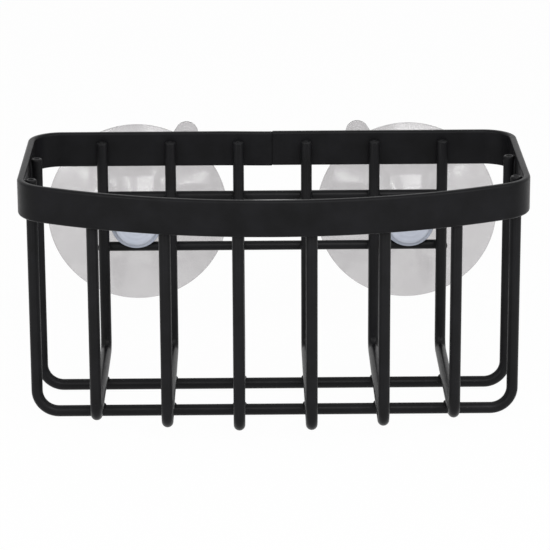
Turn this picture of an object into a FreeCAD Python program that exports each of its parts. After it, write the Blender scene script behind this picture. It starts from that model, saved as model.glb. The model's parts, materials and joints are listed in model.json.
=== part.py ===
"""Shower caddy: a welded wire basket under a flat bow-front rim, held to a wall by two suction cups.

Frame: +X to the right seen from the room, +Y towards the wall, +Z up, millimetres. The origin
lies on the plane that the basket's lowest wires rest on, midway across the rim's width and
midway between the rim's front and the wall.
"""
import FreeCAD
import Part
import Sketcher
import math
import os

Vector = FreeCAD.Vector

# Driving dimensions, in millimetres unless the note says otherwise. Each becomes a sheet cell.
SIZES = (
    ("rim_width", 229.0, "outside width of the rim"),
    ("rim_depth", 127.0, "rim, rear face to the middle of the bowed front"),
    ("caddy_height", 114.3, "lowest wire to the rim's top edge"),
    ("wall_gap", 16.0, "rim's rear face to the wall"),
    ("band_height", 16.5, "rim band, top edge to bottom edge"),
    ("band_thickness", 3.2, "rim band"),
    ("band_edge_radius", 1.2, "rounding along the band's four long edges"),
    ("front_radius", 220.0, "bowed front, outside face"),
    ("front_corner_radius", 20.0, "rim, outside face"),
    ("rear_corner_radius", 15.0, "rim, outside face"),
    ("seam_gap", 0.6, "butt seam at the middle of the rim's rear"),
    ("wire_diameter", 5.2, "ribs and cross wires"),
    ("rail_diameter", 4.5, "the two rails that hold the cups"),
    ("wire_end_radius", 0.8, "rounding of every cut wire end"),
    ("weld_gap", 0.1, "thickness of weld between two welded faces"),
    ("weld_reach", 1.0, "weld flash past the wire that it holds"),
    ("weld_bulge", 1.5, "half thickness of a weld"),
    ("rib_margin", 34.1, "rim's side to the axis of the outermost rib"),
    ("rib_bend_radius", 6.0, "ribs, on the wire's axis"),
    ("rib_end_drop", 4.0, "rim's top edge down to the rib ends"),
    ("cross_bend_radius", 10.0, "cross wires, on the wire's axis"),
    ("cross_end_drop", 2.0, "rim's top edge down to the cross wire ends"),
    ("rear_cross_setback", 43.0, "rim's rear face to the rear cross wire's axis"),
    ("front_cross_margin", 3.2661, "front cross wire behind the rim's front corners"),
    ("rail_drop", 15.05, "rim's bottom edge to the upper rail's axis"),
    ("head_side_clearance", 1.28, "cup head to a rib, each side, with the cup midway"),
    ("head_grip", 2.0, "how far the cup head overlaps each rail"),
    ("neck_clearance", 0.4, "cup neck to each rail"),
    ("groove_clearance", 0.4, "cup head and shoulder to the rails' faces"),
    ("cup_offset", 0.68, "cup axis outward from the middle of its bay"),
    ("cup_diameter", 87.0, "lip of the suction cup"),
    ("cup_land", 1.8, "flat ring of the lip that meets the wall"),
    ("cup_lip_thickness", 0.8, "membrane at its edge"),
    ("cup_hollow_depth", 7.5, "wall to the middle of the hollow"),
    ("cup_dome_height", 6.0, "wall to the foot of the flare"),
    ("cup_flare_width", 11.0, "foot of the flare to the shoulder"),
    ("cup_flare_top", 11.5, "wall to the top of the flare"),
    ("cup_flare_blend", 20.0, "rounding between the dome and the conical flare"),
    ("cup_shoulder_width", 3.2, "shoulder past the neck"),
    ("head_flange_thickness", 1.8, "thin outer ring of the head"),
    ("head_core_inset", 1.8, "edge of the flange in to the thick core"),
    ("head_core_height", 2.2, "core's straight edge above the flange"),
    ("head_crown", 1.8, "dome of the core above its edge"),
    ("cup_edge_radius", 0.7, "rounding of the shoulder and the head"),
    ("tab_width", 11.0, "pull tab"),
    ("tab_reach", 8.2, "pull tab past the lip"),
    ("tab_root", 1.2, "pull tab's root inside the lip"),
    ("tab_thickness", 1.5, "pull tab"),
    ("tab_lift", 0.3, "pull tab off the wall"),
    ("tab_angle", 31.5, "pull tab from upright, in degrees"),
)
RIB_COUNT = 6

# Places and sizes that follow from the driving ones, as expressions on the sheet's cells.
REAR = "((Sizes.rim_depth - Sizes.wall_gap) / 2)"
FRONT = f"({REAR} - Sizes.rim_depth)"
WALL = f"({REAR} + Sizes.wall_gap)"
TOP = "Sizes.caddy_height"
BAND_BOTTOM = f"({TOP} - Sizes.band_height)"
WIRE_RADIUS = "(Sizes.wire_diameter / 2)"
RAIL_RADIUS = "(Sizes.rail_diameter / 2)"
WIRE_INSET = f"(Sizes.band_thickness + Sizes.weld_gap + {WIRE_RADIUS})"
RIB_PITCH = f"((Sizes.rim_width - 2 * Sizes.rib_margin) / {RIB_COUNT - 1})"
RIB_REAR = f"({REAR} - {WIRE_INSET})"
RIB_ENDS = f"({TOP} - Sizes.rib_end_drop)"
RIB_BASE = f"({WIRE_RADIUS} + Sizes.wire_diameter + Sizes.weld_gap)"
CROSS_SIDE = f"(Sizes.rim_width / 2 - {WIRE_INSET})"
CROSS_ENDS = f"({TOP} - Sizes.cross_end_drop)"
CROSS_BASE = WIRE_RADIUS
CROSS_REAR = f"({REAR} - Sizes.rear_cross_setback)"
FRONT_CENTRE = f"({FRONT} + Sizes.front_radius)"
CORNER_X = "(Sizes.rim_width / 2 - Sizes.front_corner_radius)"
CORNER_Y = f"({FRONT_CENTRE} - sqrt((Sizes.front_radius - Sizes.front_corner_radius) ^ 2 - {CORNER_X} ^ 2))"
CROSS_FRONT = f"({CORNER_Y} + Sizes.front_cross_margin)"
FRONT_WIRE_RADIUS = f"(Sizes.front_radius - {WIRE_INSET})"
RAIL_Y = f"({RIB_REAR} + {WIRE_RADIUS} + Sizes.weld_gap + {RAIL_RADIUS})"
HEAD_RADIUS = f"({RIB_PITCH} / 2 - {WIRE_RADIUS} - Sizes.head_side_clearance)"
RAIL_GAP = f"(2 * {HEAD_RADIUS} - 2 * Sizes.head_grip)"
RAIL_SPACING = f"({RAIL_GAP} + Sizes.rail_diameter)"
UPPER_RAIL_Z = f"({BAND_BOTTOM} - Sizes.rail_drop)"
LOWER_RAIL_Z = f"({UPPER_RAIL_Z} - {RAIL_SPACING})"
CUP_X = f"(2 * {RIB_PITCH} + Sizes.cup_offset)"
CUP_Z = f"({UPPER_RAIL_Z} - {RAIL_SPACING} / 2)"
NECK_RADIUS = f"({RAIL_GAP} / 2 - Sizes.neck_clearance)"
SHOULDER_RADIUS = f"({NECK_RADIUS} + Sizes.cup_shoulder_width)"
SHOULDER_TOP = f"({WALL} - {RAIL_Y} - {RAIL_RADIUS} - Sizes.groove_clearance)"
HEAD_BASE = f"({WALL} - {RAIL_Y} + {RAIL_RADIUS} + Sizes.groove_clearance)"
FLANGE_TOP = f"({HEAD_BASE} + Sizes.head_flange_thickness)"
CORE_RADIUS = f"({HEAD_RADIUS} - Sizes.head_core_inset)"
CORE_EDGE = f"({FLANGE_TOP} + Sizes.head_core_height)"
LIP_RADIUS = "(Sizes.cup_diameter / 2)"
WELD_SIDE = f"({WIRE_RADIUS} + Sizes.weld_reach / 4)"

# Ends of a sketch edge, and the sketch's own origin and upright axis, as Sketcher numbers them.
START, END, CENTRE = 1, 2, 3
ORIGIN = (-1, START)
UPRIGHT_AXIS = -2

SIDEWARD = Vector(1, 0, 0)
REARWARD = Vector(0, 1, 0)
UPWARD = Vector(0, 0, 1)
AXIS_TO_X = FreeCAD.Rotation(REARWARD, 90)
AXIS_TO_ROOM = FreeCAD.Rotation(SIDEWARD, 90)

doc = FreeCAD.newDocument("shower_caddy")


def make_sheet():
    """The spreadsheet of driving dimensions: name, value and note on each row."""
    sheet = doc.addObject("Spreadsheet::Sheet", "Sizes")
    for row, (name, value, note) in enumerate(SIZES, start=1):
        sheet.set(f"A{row}", name)
        sheet.set(f"B{row}", str(value))
        sheet.set(f"C{row}", note)
        sheet.setAlias(f"B{row}", name)
    doc.recompute()
    return sheet


def value_of(expression):
    """The number that an expression on the sheet gives now."""
    return float(sheet.evalExpression(expression))


def make_body(label):
    """An empty body that is one sub-part."""
    body = doc.addObject("PartDesign::Body", label)
    body.Label = label
    return body


def add_sketch(body, name, plane_role, offset=None, turn=None):
    """A sketch on one of the body's own planes, moved along its normal by an expression."""
    plane = next(item for item in body.Origin.OriginFeatures if item.Role == plane_role)
    sketch = body.newObject("Sketcher::SketchObject", f"{body.Label}_{name}")
    sketch.AttachmentSupport = (plane, [""])
    sketch.MapMode = "FlatFace"
    if offset:
        sketch.setExpression("AttachmentOffset.Base.z", offset)
    if turn:
        sketch.setExpression("AttachmentOffset.Rotation.Angle", turn)
    return sketch


def bind(sketch, name, constraint, expression):
    """Adds a named dimension to the sketch and ties it to the sheet."""
    index = sketch.addConstraint(constraint)
    sketch.renameConstraint(index, name)
    sketch.setExpression(f"Constraints.{name}", expression)


def place_point(sketch, name, edge, end, x_expression, y_expression):
    """Ties one end of an edge to a place measured from the sketch's origin."""
    for axis, expression in (("X", x_expression), ("Y", y_expression)):
        constraint = Sketcher.Constraint(f"Distance{axis}", *ORIGIN, edge, end, value_of(expression))
        bind(sketch, f"{name}_{axis.lower()}", constraint, expression)


def bind_radius(sketch, name, edge, expression):
    """Ties an arc's or circle's radius to the sheet."""
    bind(sketch, name, Sketcher.Constraint("Radius", edge, value_of(expression)), expression)


def arc(centre, radius, first, last):
    """An arc about centre, anticlockwise from first to last, both in degrees."""
    circle = Part.Circle(Vector(*centre, 0), UPWARD, radius)
    return Part.ArcOfCircle(circle, math.radians(first), math.radians(last))


def arc_through(centre, start, stop):
    """An arc about centre, anticlockwise from start to stop, both (x, y) places."""
    angles = [math.atan2(end[1] - centre[1], end[0] - centre[0]) for end in (start, stop)]
    if angles[1] < angles[0]:
        angles[1] += 2 * math.pi
    radius = math.dist(centre, start)
    return Part.ArcOfCircle(Part.Circle(Vector(*centre, 0), UPWARD, radius), *angles)


def line(start, stop):
    """A straight sketch edge between two (x, y) places."""
    return Part.LineSegment(Vector(*start, 0), Vector(*stop, 0))


def draw_u(sketch, left, right, base, ends, bend):
    """A U of three lines and two equal bends; every argument is an expression."""
    low_x, high_x, low_y, high_y, radius = map(value_of, (left, right, base, ends, bend))
    sketch.addGeometry([
        line((low_x, high_y), (low_x, low_y + radius)),
        arc((low_x + radius, low_y + radius), radius, 180, 270),
        line((low_x + radius, low_y), (high_x - radius, low_y)),
        arc((high_x - radius, low_y + radius), radius, 270, 360),
        line((high_x, low_y + radius), (high_x, high_y)),
    ])
    for edge in range(4):
        sketch.addConstraint(Sketcher.Constraint("Tangent", edge, END, edge + 1, START))
    for edge in (0, 4):
        sketch.addConstraint(Sketcher.Constraint("Vertical", edge))
    sketch.addConstraint(Sketcher.Constraint("Equal", 1, 3))
    bind_radius(sketch, "bend", 1, bend)
    place_point(sketch, "left_end", 0, START, left, ends)
    place_point(sketch, "right_end", 4, END, right, ends)
    base_height = Sketcher.Constraint("DistanceY", *ORIGIN, 2, START, low_y)
    bind(sketch, "base", base_height, base)


def edge_names(shape, wanted):
    """Names of the edges of a shape that a test picks."""
    return [f"Edge{number}" for number, edge in enumerate(shape.Edges, start=1) if wanted(edge)]


def round_edges(body, feature, wanted, radius, name):
    """Rounds the edges of a feature that a test picks."""
    doc.recompute()
    fillet = body.newObject("PartDesign::Fillet", f"{body.Label}_{name}")
    fillet.Base = (feature, edge_names(feature.Shape, wanted))
    fillet.setExpression("Radius", radius)
    feature.Visibility = False
    return fillet


def wire_body(label, plane_role, left, right, base, ends, bend):
    """A round wire bent to a U in one of the body's upright planes, its cut ends rounded."""
    body = make_body(label)
    path = add_sketch(body, "path", plane_role)
    draw_u(path, left, right, base, ends, bend)
    section = add_sketch(body, "section", "XY_Plane", offset=ends)
    along_x = plane_role == "XZ_Plane"
    start = (value_of(left), 0) if along_x else (0, value_of(left))
    section.addGeometry(Part.Circle(Vector(*start, 0), UPWARD, value_of(WIRE_RADIUS)))
    place_point(section, "centre", 0, CENTRE, left if along_x else "0", "0" if along_x else left)
    bind_radius(section, "wire_radius", 0, WIRE_RADIUS)
    doc.recompute()
    wire = body.newObject("PartDesign::AdditivePipe", f"{label}_wire")
    wire.Profile = section
    wire.Spine = (path, edge_names(path.Shape, lambda edge: True))
    top = value_of(ends)
    round_edges(body, wire, lambda edge: abs(edge.BoundBox.ZMin - top) < 1e-4,
                "Sizes.wire_end_radius", "ends")
    return body


def rib_x(number):
    """Expression for the x place of rib 1 (left) to rib 6 (right)."""
    return f"({number - (RIB_COUNT + 1) / 2} * {RIB_PITCH})"


def rib_front(number):
    """Expression for the y place of a rib's front leg, just inside the bowed front."""
    return f"({FRONT_CENTRE} - sqrt({FRONT_WIRE_RADIUS} ^ 2 - {rib_x(number)} ^ 2))"


def make_rib(number):
    """One front-to-back U wire, its legs welded to the inside of the rim."""
    body = wire_body(f"rib_{number}", "YZ_Plane", rib_front(number), RIB_REAR,
                     RIB_BASE, RIB_ENDS, "Sizes.rib_bend_radius")
    body.setExpression("Placement.Base.x", rib_x(number))
    return body


def make_cross_wire(label, place):
    """One side-to-side U wire under the ribs, its legs welded to the rim's sides."""
    body = wire_body(label, "XZ_Plane", f"(-{CROSS_SIDE})", CROSS_SIDE,
                     CROSS_BASE, CROSS_ENDS, "Sizes.cross_bend_radius")
    body.setExpression("Placement.Base.y", place)
    return body


def make_rail(label, height):
    """A straight rail across the backs of all the ribs, flush with the outermost two."""
    length = f"({RIB_COUNT - 1} * {RIB_PITCH} + Sizes.wire_diameter)"
    bar = doc.addObject("Part::Cylinder", f"{label}_bar")
    bar.Placement.Rotation = AXIS_TO_X
    bar.setExpression("Radius", RAIL_RADIUS)
    bar.setExpression("Height", length)
    bar.setExpression("Placement.Base.x", f"-{length} / 2")
    bar.setExpression("Placement.Base.y", RAIL_Y)
    bar.setExpression("Placement.Base.z", height)
    doc.recompute()
    rail = doc.addObject("Part::Fillet", label)
    rail.Base = bar
    radius = value_of("Sizes.wire_end_radius")
    ends = [number for number, edge in enumerate(bar.Shape.Edges, start=1)
            if edge.BoundBox.XLength < 1e-4]
    rail.Edges = [(number, radius, radius) for number in ends]
    rail.Label = label
    return rail


def draw_rim_loop(sketch, name, inset):
    """One closed outline of the rim, inset from its outside face by an expression."""
    half_width = f"(Sizes.rim_width / 2 - {inset})"
    rear = f"({REAR} - {inset})"
    rear_radius = f"(Sizes.rear_corner_radius - {inset})"
    corner_radius = f"(Sizes.front_corner_radius - {inset})"
    front_radius = f"(Sizes.front_radius - {inset})"
    side, back, small, corner, bow, centre = map(
        value_of, (half_width, rear, rear_radius, corner_radius, front_radius, FRONT_CENTRE))
    corner_x = side - corner
    corner_y = centre - math.sqrt((bow - corner) ** 2 - corner_x ** 2)
    meet = math.degrees(math.atan2(corner_x, centre - corner_y))
    meet_x = bow * math.sin(math.radians(meet))
    meet_y = centre - bow * math.cos(math.radians(meet))
    first = sketch.GeometryCount
    sketch.addGeometry([
        line((side - small, back), (small - side, back)),
        arc((small - side, back - small), small, 90, 180),
        line((-side, back - small), (-side, corner_y)),
        arc((-corner_x, corner_y), corner, 180, 270 - meet),
        arc_through((0, centre), (-meet_x, meet_y), (meet_x, meet_y)),
        arc((corner_x, corner_y), corner, 270 + meet, 360),
        line((side, corner_y), (side, back - small)),
        arc((side - small, back - small), small, 0, 90),
    ])
    (rear_line, rear_left, left_line, front_left,
     front, front_right, right_line, rear_right) = range(first, first + 8)
    for edge in range(first, first + 8):
        after = first if edge == rear_right else edge + 1
        sketch.addConstraint(Sketcher.Constraint("Tangent", edge, END, after, START))
    sketch.addConstraint(Sketcher.Constraint("Horizontal", rear_line))
    for edge in (left_line, right_line):
        sketch.addConstraint(Sketcher.Constraint("Vertical", edge))
    sketch.addConstraint(Sketcher.Constraint("Equal", rear_left, rear_right))
    sketch.addConstraint(Sketcher.Constraint("Equal", front_left, front_right))
    bind_radius(sketch, f"{name}_rear_corner", rear_left, rear_radius)
    bind_radius(sketch, f"{name}_front_corner", front_left, corner_radius)
    bind_radius(sketch, f"{name}_front", front, front_radius)
    place_point(sketch, f"{name}_front_centre", front, CENTRE, "0", FRONT_CENTRE)
    for label, axis, edge, expression in (
            ("left", "X", left_line, f"-{half_width}"),
            ("right", "X", right_line, half_width),
            ("rear", "Y", rear_line, rear)):
        distance = Sketcher.Constraint(f"Distance{axis}", *ORIGIN, edge, START, value_of(expression))
        bind(sketch, f"{name}_{label}", distance, expression)


def make_rim_band():
    """The flat strip bent to a bow-front loop, with an open butt seam at its rear."""
    body = make_body("rim_band")
    outline = add_sketch(body, "outline", "XY_Plane", offset=BAND_BOTTOM)
    draw_rim_loop(outline, "outside", "0")
    draw_rim_loop(outline, "inside", "Sizes.band_thickness")
    strip = body.newObject("PartDesign::Pad", "rim_band_strip")
    strip.Profile = outline
    strip.setExpression("Length", "Sizes.band_height")
    rounded = round_edges(body, strip, lambda edge: edge.BoundBox.ZLength < 1e-4,
                          "Sizes.band_edge_radius", "edges")
    doc.recompute()
    whole = rounded.Shape.Volume
    seam = add_sketch(body, "seam", "XY_Plane", offset=TOP)
    half_gap = "(Sizes.seam_gap / 2)"
    near, far = f"({REAR} - 2 * Sizes.band_thickness)", f"({REAR} + Sizes.band_thickness)"
    right, low, high = map(value_of, (half_gap, near, far))
    seam.addGeometry([line((-right, low), (right, low)), line((right, low), (right, high)),
                      line((right, high), (-right, high)), line((-right, high), (-right, low))])
    for edge in range(4):
        seam.addConstraint(Sketcher.Constraint("Coincident", edge, END, (edge + 1) % 4, START))
        direction = "Horizontal" if edge % 2 == 0 else "Vertical"
        seam.addConstraint(Sketcher.Constraint(direction, edge))
    place_point(seam, "near_left", 0, START, f"-{half_gap}", near)
    place_point(seam, "far_right", 2, START, half_gap, far)
    cut = body.newObject("PartDesign::Pocket", "rim_band_seam_cut")
    cut.Profile = seam
    cut.Type = "ThroughAll"
    doc.recompute()
    if not cut.Shape.Volume < whole:
        raise RuntimeError("the rim's seam cut removed nothing")
    return body


def make_seam_weld():
    """The weld that fills the rim's butt seam, ground to the band's own rounded section."""
    block = doc.addObject("Part::Box", "rim_seam_weld_block")
    block.setExpression("Length", "Sizes.seam_gap")
    block.setExpression("Width", "Sizes.band_thickness")
    block.setExpression("Height", "Sizes.band_height")
    block.setExpression("Placement.Base.x", "-Sizes.seam_gap / 2")
    block.setExpression("Placement.Base.y", f"{REAR} - Sizes.band_thickness")
    block.setExpression("Placement.Base.z", BAND_BOTTOM)
    doc.recompute()
    weld = doc.addObject("Part::Fillet", "rim_seam_weld")
    weld.Base = block
    radius = value_of("Sizes.band_edge_radius")
    long_edges = [number for number, edge in enumerate(block.Shape.Edges, start=1)
                  if edge.BoundBox.XLength > 1e-4]
    weld.Edges = [(number, radius, radius) for number in long_edges]
    weld.Label = "rim_seam_weld"
    return weld


def weld_spot(name, place, reach, normal, along, joined):
    """One weld: a lens between two faces, cut back to the pieces that it joins.

    The lens is thin along the normal of the contact, so its poles are cut away with the
    pieces. place holds three expressions, reach the half sizes across, along and through
    the contact, and joined the pieces on its two sides.
    """
    lens = doc.addObject("Part::Ellipsoid", f"{name}_lens")
    lens.Placement.Rotation = FreeCAD.Rotation(Vector(), along, normal, "ZYX")
    for radius, expression in zip(("Radius2", "Radius3", "Radius1"), reach):
        lens.setExpression(radius, expression)
    for axis, expression in zip("xyz", place):
        lens.setExpression(f"Placement.Base.{axis}", expression)
    for number, piece in enumerate(joined, start=1):
        cut = doc.addObject("Part::Cut", f"{name}_cut_{number}")
        cut.Base = lens
        cut.Tool = piece
        lens = cut
    return lens


def weld_group(label, spots):
    """All the welds of one kind, as one sub-part of separate solids."""
    group = doc.addObject("Part::Compound", label)
    group.Label = label
    group.Links = [weld_spot(f"{label}_{number}", *spot) for number, spot in enumerate(spots, start=1)]
    return group


def make_rib_rim_welds(ribs, rim):
    """Upright fillets between each rib's two legs and the inside of the rim."""
    tall = "((Sizes.band_height - Sizes.rib_end_drop) / 2 - Sizes.weld_reach)"
    height = f"({RIB_ENDS} - (Sizes.band_height - Sizes.rib_end_drop) / 2)"
    reach = (WELD_SIDE, tall, "Sizes.weld_bulge")
    contact = f"({WIRE_RADIUS} + Sizes.weld_gap / 2)"
    spots = []
    for number, rib in enumerate(ribs, start=1):
        lean = f"({rib_x(number)} / {FRONT_WIRE_RADIUS})"
        front_x = f"({rib_x(number)} + {contact} * {lean})"
        front_y = f"({rib_front(number)} - {contact} * sqrt(1 - {lean} ^ 2))"
        turn = math.asin(value_of(lean))
        outward = Vector(math.sin(turn), -math.cos(turn), 0)
        spots.append(((rib_x(number), f"({RIB_REAR} + {contact})", height), reach,
                      REARWARD, UPWARD, (rib, rim)))
        spots.append(((front_x, front_y, height), reach, outward, UPWARD, (rib, rim)))
    return weld_group("rib_rim_welds", spots)


def make_cross_rim_welds(wires, rim):
    """Upright fillets between the cross wires' legs and the rim's sides."""
    overlap = "(Sizes.band_height - Sizes.cross_end_drop)"
    reach = (WELD_SIDE, f"({overlap} / 2 - Sizes.weld_reach)", "Sizes.weld_bulge")
    contact = f"({CROSS_SIDE} + {WIRE_RADIUS} + Sizes.weld_gap / 2)"
    spots = []
    for wire, y_place in zip(wires, (CROSS_FRONT, CROSS_REAR)):
        for side in ("-", ""):
            place = (f"({side}{contact})", y_place, f"({CROSS_ENDS} - {overlap} / 2)")
            spots.append((place, reach, SIDEWARD, UPWARD, (wire, rim)))
    return weld_group("cross_wire_rim_welds", spots)


def make_base_welds(ribs, wires):
    """Spot welds where each rib crosses over each cross wire at the base."""
    flash = f"({WIRE_RADIUS} + Sizes.weld_reach)"
    reach = (flash, flash, "Sizes.weld_bulge")
    height = "(Sizes.wire_diameter + Sizes.weld_gap / 2)"
    spots = [((rib_x(number), y_place, height), reach, UPWARD, REARWARD, (rib, wire))
             for number, rib in enumerate(ribs, start=1)
             for wire, y_place in zip(wires, (CROSS_FRONT, CROSS_REAR))]
    return weld_group("base_welds", spots)


def make_rail_welds(ribs, rails):
    """Spot welds where each rail crosses the back of each rib."""
    reach = (f"({WIRE_RADIUS} + Sizes.weld_reach)", f"({RAIL_RADIUS} + Sizes.weld_reach)",
             "Sizes.weld_bulge")
    depth = f"({RIB_REAR} + {WIRE_RADIUS} + Sizes.weld_gap / 2)"
    spots = [((rib_x(number), depth, z_place), reach, REARWARD, UPWARD, (rib, rail))
             for number, rib in enumerate(ribs, start=1)
             for rail, z_place in zip(rails, (UPPER_RAIL_Z, LOWER_RAIL_Z))]
    return weld_group("rail_welds", spots)


def draw_cup_profile(sketch):
    """Half section of the cup: radius across, height off the wall up."""
    corners = (
        ("land_inside", f"({LIP_RADIUS} - Sizes.cup_land)", "0"),
        ("lip_bottom", LIP_RADIUS, "0"),
        ("lip_top", LIP_RADIUS, "Sizes.cup_lip_thickness"),
        ("flare_foot", f"({SHOULDER_RADIUS} + Sizes.cup_flare_width)", "Sizes.cup_dome_height"),
        ("flare_top", SHOULDER_RADIUS, "Sizes.cup_flare_top"),
        ("shoulder", SHOULDER_RADIUS, SHOULDER_TOP),
        ("neck_bottom", NECK_RADIUS, SHOULDER_TOP),
        ("neck_top", NECK_RADIUS, HEAD_BASE),
        ("head_bottom", HEAD_RADIUS, HEAD_BASE),
        ("flange_top", HEAD_RADIUS, FLANGE_TOP),
        ("core_foot", CORE_RADIUS, FLANGE_TOP),
        ("core_edge", CORE_RADIUS, CORE_EDGE),
        ("head_crown", "0", f"({CORE_EDGE} + Sizes.head_crown)"),
        ("hollow_top", "0", "Sizes.cup_hollow_depth"),
    )
    points = [(value_of(x_place), value_of(y_place)) for _, x_place, y_place in corners]

    def centre_on_axis(first, second):
        """Where an arc about the cup's axis through two places has its centre."""
        (x1, y1), (x2, y2) = first, second
        return 0, (x1 ** 2 + y1 ** 2 - x2 ** 2 - y2 ** 2) / (2 * (y1 - y2))

    edges = [line(points[index], points[index + 1]) for index in range(len(points) - 1)]
    dome, crown, hollow = 2, 11, 13
    edges.append(arc_through(centre_on_axis(points[hollow], points[0]), points[0], points[hollow]))
    for edge in (dome, crown):
        start, end = points[edge], points[edge + 1]
        edges[edge] = arc_through(centre_on_axis(start, end), start, end)
    sketch.addGeometry(edges)
    backwards = {hollow}
    starts = [END if edge in backwards else START for edge in range(len(edges))]
    stops = [START if edge in backwards else END for edge in range(len(edges))]
    for edge in range(len(edges)):
        after = (edge + 1) % len(edges)
        sketch.addConstraint(
            Sketcher.Constraint("Coincident", edge, stops[edge], after, starts[after]))
    for edge, (name, x_place, y_place) in enumerate(corners):
        place_point(sketch, name, edge, starts[edge], x_place, y_place)
    for edge in (dome, crown, hollow):
        sketch.addConstraint(Sketcher.Constraint("PointOnObject", edge, CENTRE, UPRIGHT_AXIS))


def draw_tab(sketch):
    """The pull tab's outline, straight up the sketch, with a round end."""
    half = "(Sizes.tab_width / 2)"
    root = f"({LIP_RADIUS} - Sizes.tab_root)"
    bend = f"({LIP_RADIUS} + Sizes.tab_reach - {half})"
    right, low, high = map(value_of, (half, root, bend))
    sketch.addGeometry([
        line((-right, low), (right, low)),
        line((right, low), (right, high)),
        arc((0, high), right, 0, 180),
        line((-right, high), (-right, low)),
    ])
    for edge, kind in enumerate(("Coincident", "Tangent", "Tangent", "Coincident")):
        after = (edge + 1) % 4
        sketch.addConstraint(Sketcher.Constraint(kind, edge, END, after, START))
    sketch.addConstraint(Sketcher.Constraint("Horizontal", 0))
    for edge in (1, 3):
        sketch.addConstraint(Sketcher.Constraint("Vertical", edge))
    place_point(sketch, "end_centre", 2, CENTRE, "0", bend)
    bind_radius(sketch, "end_radius", 2, half)
    bind(sketch, "root", Sketcher.Constraint("DistanceY", *ORIGIN, 0, START, low), root)


def make_cup(label, side):
    """A one-piece soft cup: lip, domed membrane, shoulder, neck between the rails, head and tab.

    Its own Z axis runs from the wall into the room; side is "-" on the left and "" on the right.
    """
    body = make_body(label)
    profile = add_sketch(body, "profile", "XZ_Plane")
    draw_cup_profile(profile)
    turned = body.newObject("PartDesign::Revolution", f"{label}_turned")
    turned.Profile = profile
    turned.ReferenceAxis = (profile, ["V_Axis"])
    turned.Angle = 360
    doc.recompute()
    lean = "Sizes.tab_angle" if side == "" else "-Sizes.tab_angle"
    outline = add_sketch(body, "tab_outline", "XY_Plane", offset="Sizes.tab_lift", turn=lean)
    draw_tab(outline)
    tab = body.newObject("PartDesign::Pad", f"{label}_tab")
    tab.Profile = outline
    tab.setExpression("Length", "Sizes.tab_thickness")
    rims = {(value_of(SHOULDER_RADIUS), value_of(SHOULDER_TOP)),
            (value_of(HEAD_RADIUS), value_of(HEAD_BASE)),
            (value_of(HEAD_RADIUS), value_of(FLANGE_TOP)),
            (value_of(CORE_RADIUS), value_of(CORE_EDGE))}
    foot = {(value_of(f"({SHOULDER_RADIUS} + Sizes.cup_flare_width)"),
             value_of("Sizes.cup_dome_height"))}

    def ring_test(rings):
        """A test for the level circles with these radii and heights."""
        return lambda edge: edge.BoundBox.ZLength < 1e-3 and any(
            abs(edge.BoundBox.XMax - radius) < 1e-3 and abs(edge.BoundBox.ZMin - height) < 1e-3
            for radius, height in rings)

    rimmed = round_edges(body, tab, ring_test(rims), "Sizes.cup_edge_radius", "rims")
    round_edges(body, rimmed, ring_test(foot), "Sizes.cup_flare_blend", "flare_blend")
    body.Placement.Rotation = AXIS_TO_ROOM
    body.setExpression("Placement.Base.x", f"({side}{CUP_X})")
    body.setExpression("Placement.Base.y", WALL)
    body.setExpression("Placement.Base.z", CUP_Z)
    return body


def check_wire_volume(body, spine_length):
    """A bent wire holds its section times its length, less the little its rounded ends lose."""
    expected = math.pi * value_of(WIRE_RADIUS) ** 2 * spine_length
    if abs(body.Shape.Volume / expected - 1) > 0.01:
        raise RuntimeError(f"{body.Label} holds {body.Shape.Volume:.1f}, not {expected:.1f} mm3")


sheet = make_sheet()
ribs = [make_rib(number) for number in range(1, RIB_COUNT + 1)]
cross_wires = [make_cross_wire("front_cross_wire", CROSS_FRONT),
               make_cross_wire("rear_cross_wire", CROSS_REAR)]
rails = [make_rail("upper_rail", UPPER_RAIL_Z), make_rail("lower_rail", LOWER_RAIL_Z)]
rim_band = make_rim_band()
cups = [make_cup("left_suction_cup", "-"), make_cup("right_suction_cup", "")]
doc.recompute()
welds = [make_seam_weld(), make_rib_rim_welds(ribs, rim_band),
         make_cross_rim_welds(cross_wires, rim_band), make_base_welds(ribs, cross_wires),
         make_rail_welds(ribs, rails)]
doc.recompute()

for item in doc.Objects:
    if "Invalid" in item.State or "Error" in item.State:
        raise RuntimeError(f"{item.Label} did not recompute: {item.State}")
for wire in ribs + cross_wires:
    check_wire_volume(wire, doc.getObject(f"{wire.Label}_path").Shape.Length)
pieces = [rim_band, *ribs, *cross_wires, *rails, *cups, *welds]
for piece in pieces:
    if piece.Shape.isNull() or not piece.Shape.isValid():
        raise RuntimeError(f"{piece.Label} has no valid shape")

os.makedirs("parts", exist_ok=True)
for piece in pieces:
    piece.Shape.exportStep(f"parts/{piece.Label}.step")
    print(f"{piece.Label}: {len(piece.Shape.Solids)} solid(s), {piece.Shape.Volume:.1f} mm3")
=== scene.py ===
"""The looks of a wire shower caddy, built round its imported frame.

The caddy is a small welded basket of round steel wire under a flat, bow-front strip, all under
one satin black powder coat. Two clear vinyl suction cups sit between the rails on its back.
"""
import json
import logging
import math
from dataclasses import dataclass, field
from enum import Enum
from typing import Any

import bmesh
import bpy
from mathutils import Matrix, Quaternion, Vector


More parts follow.
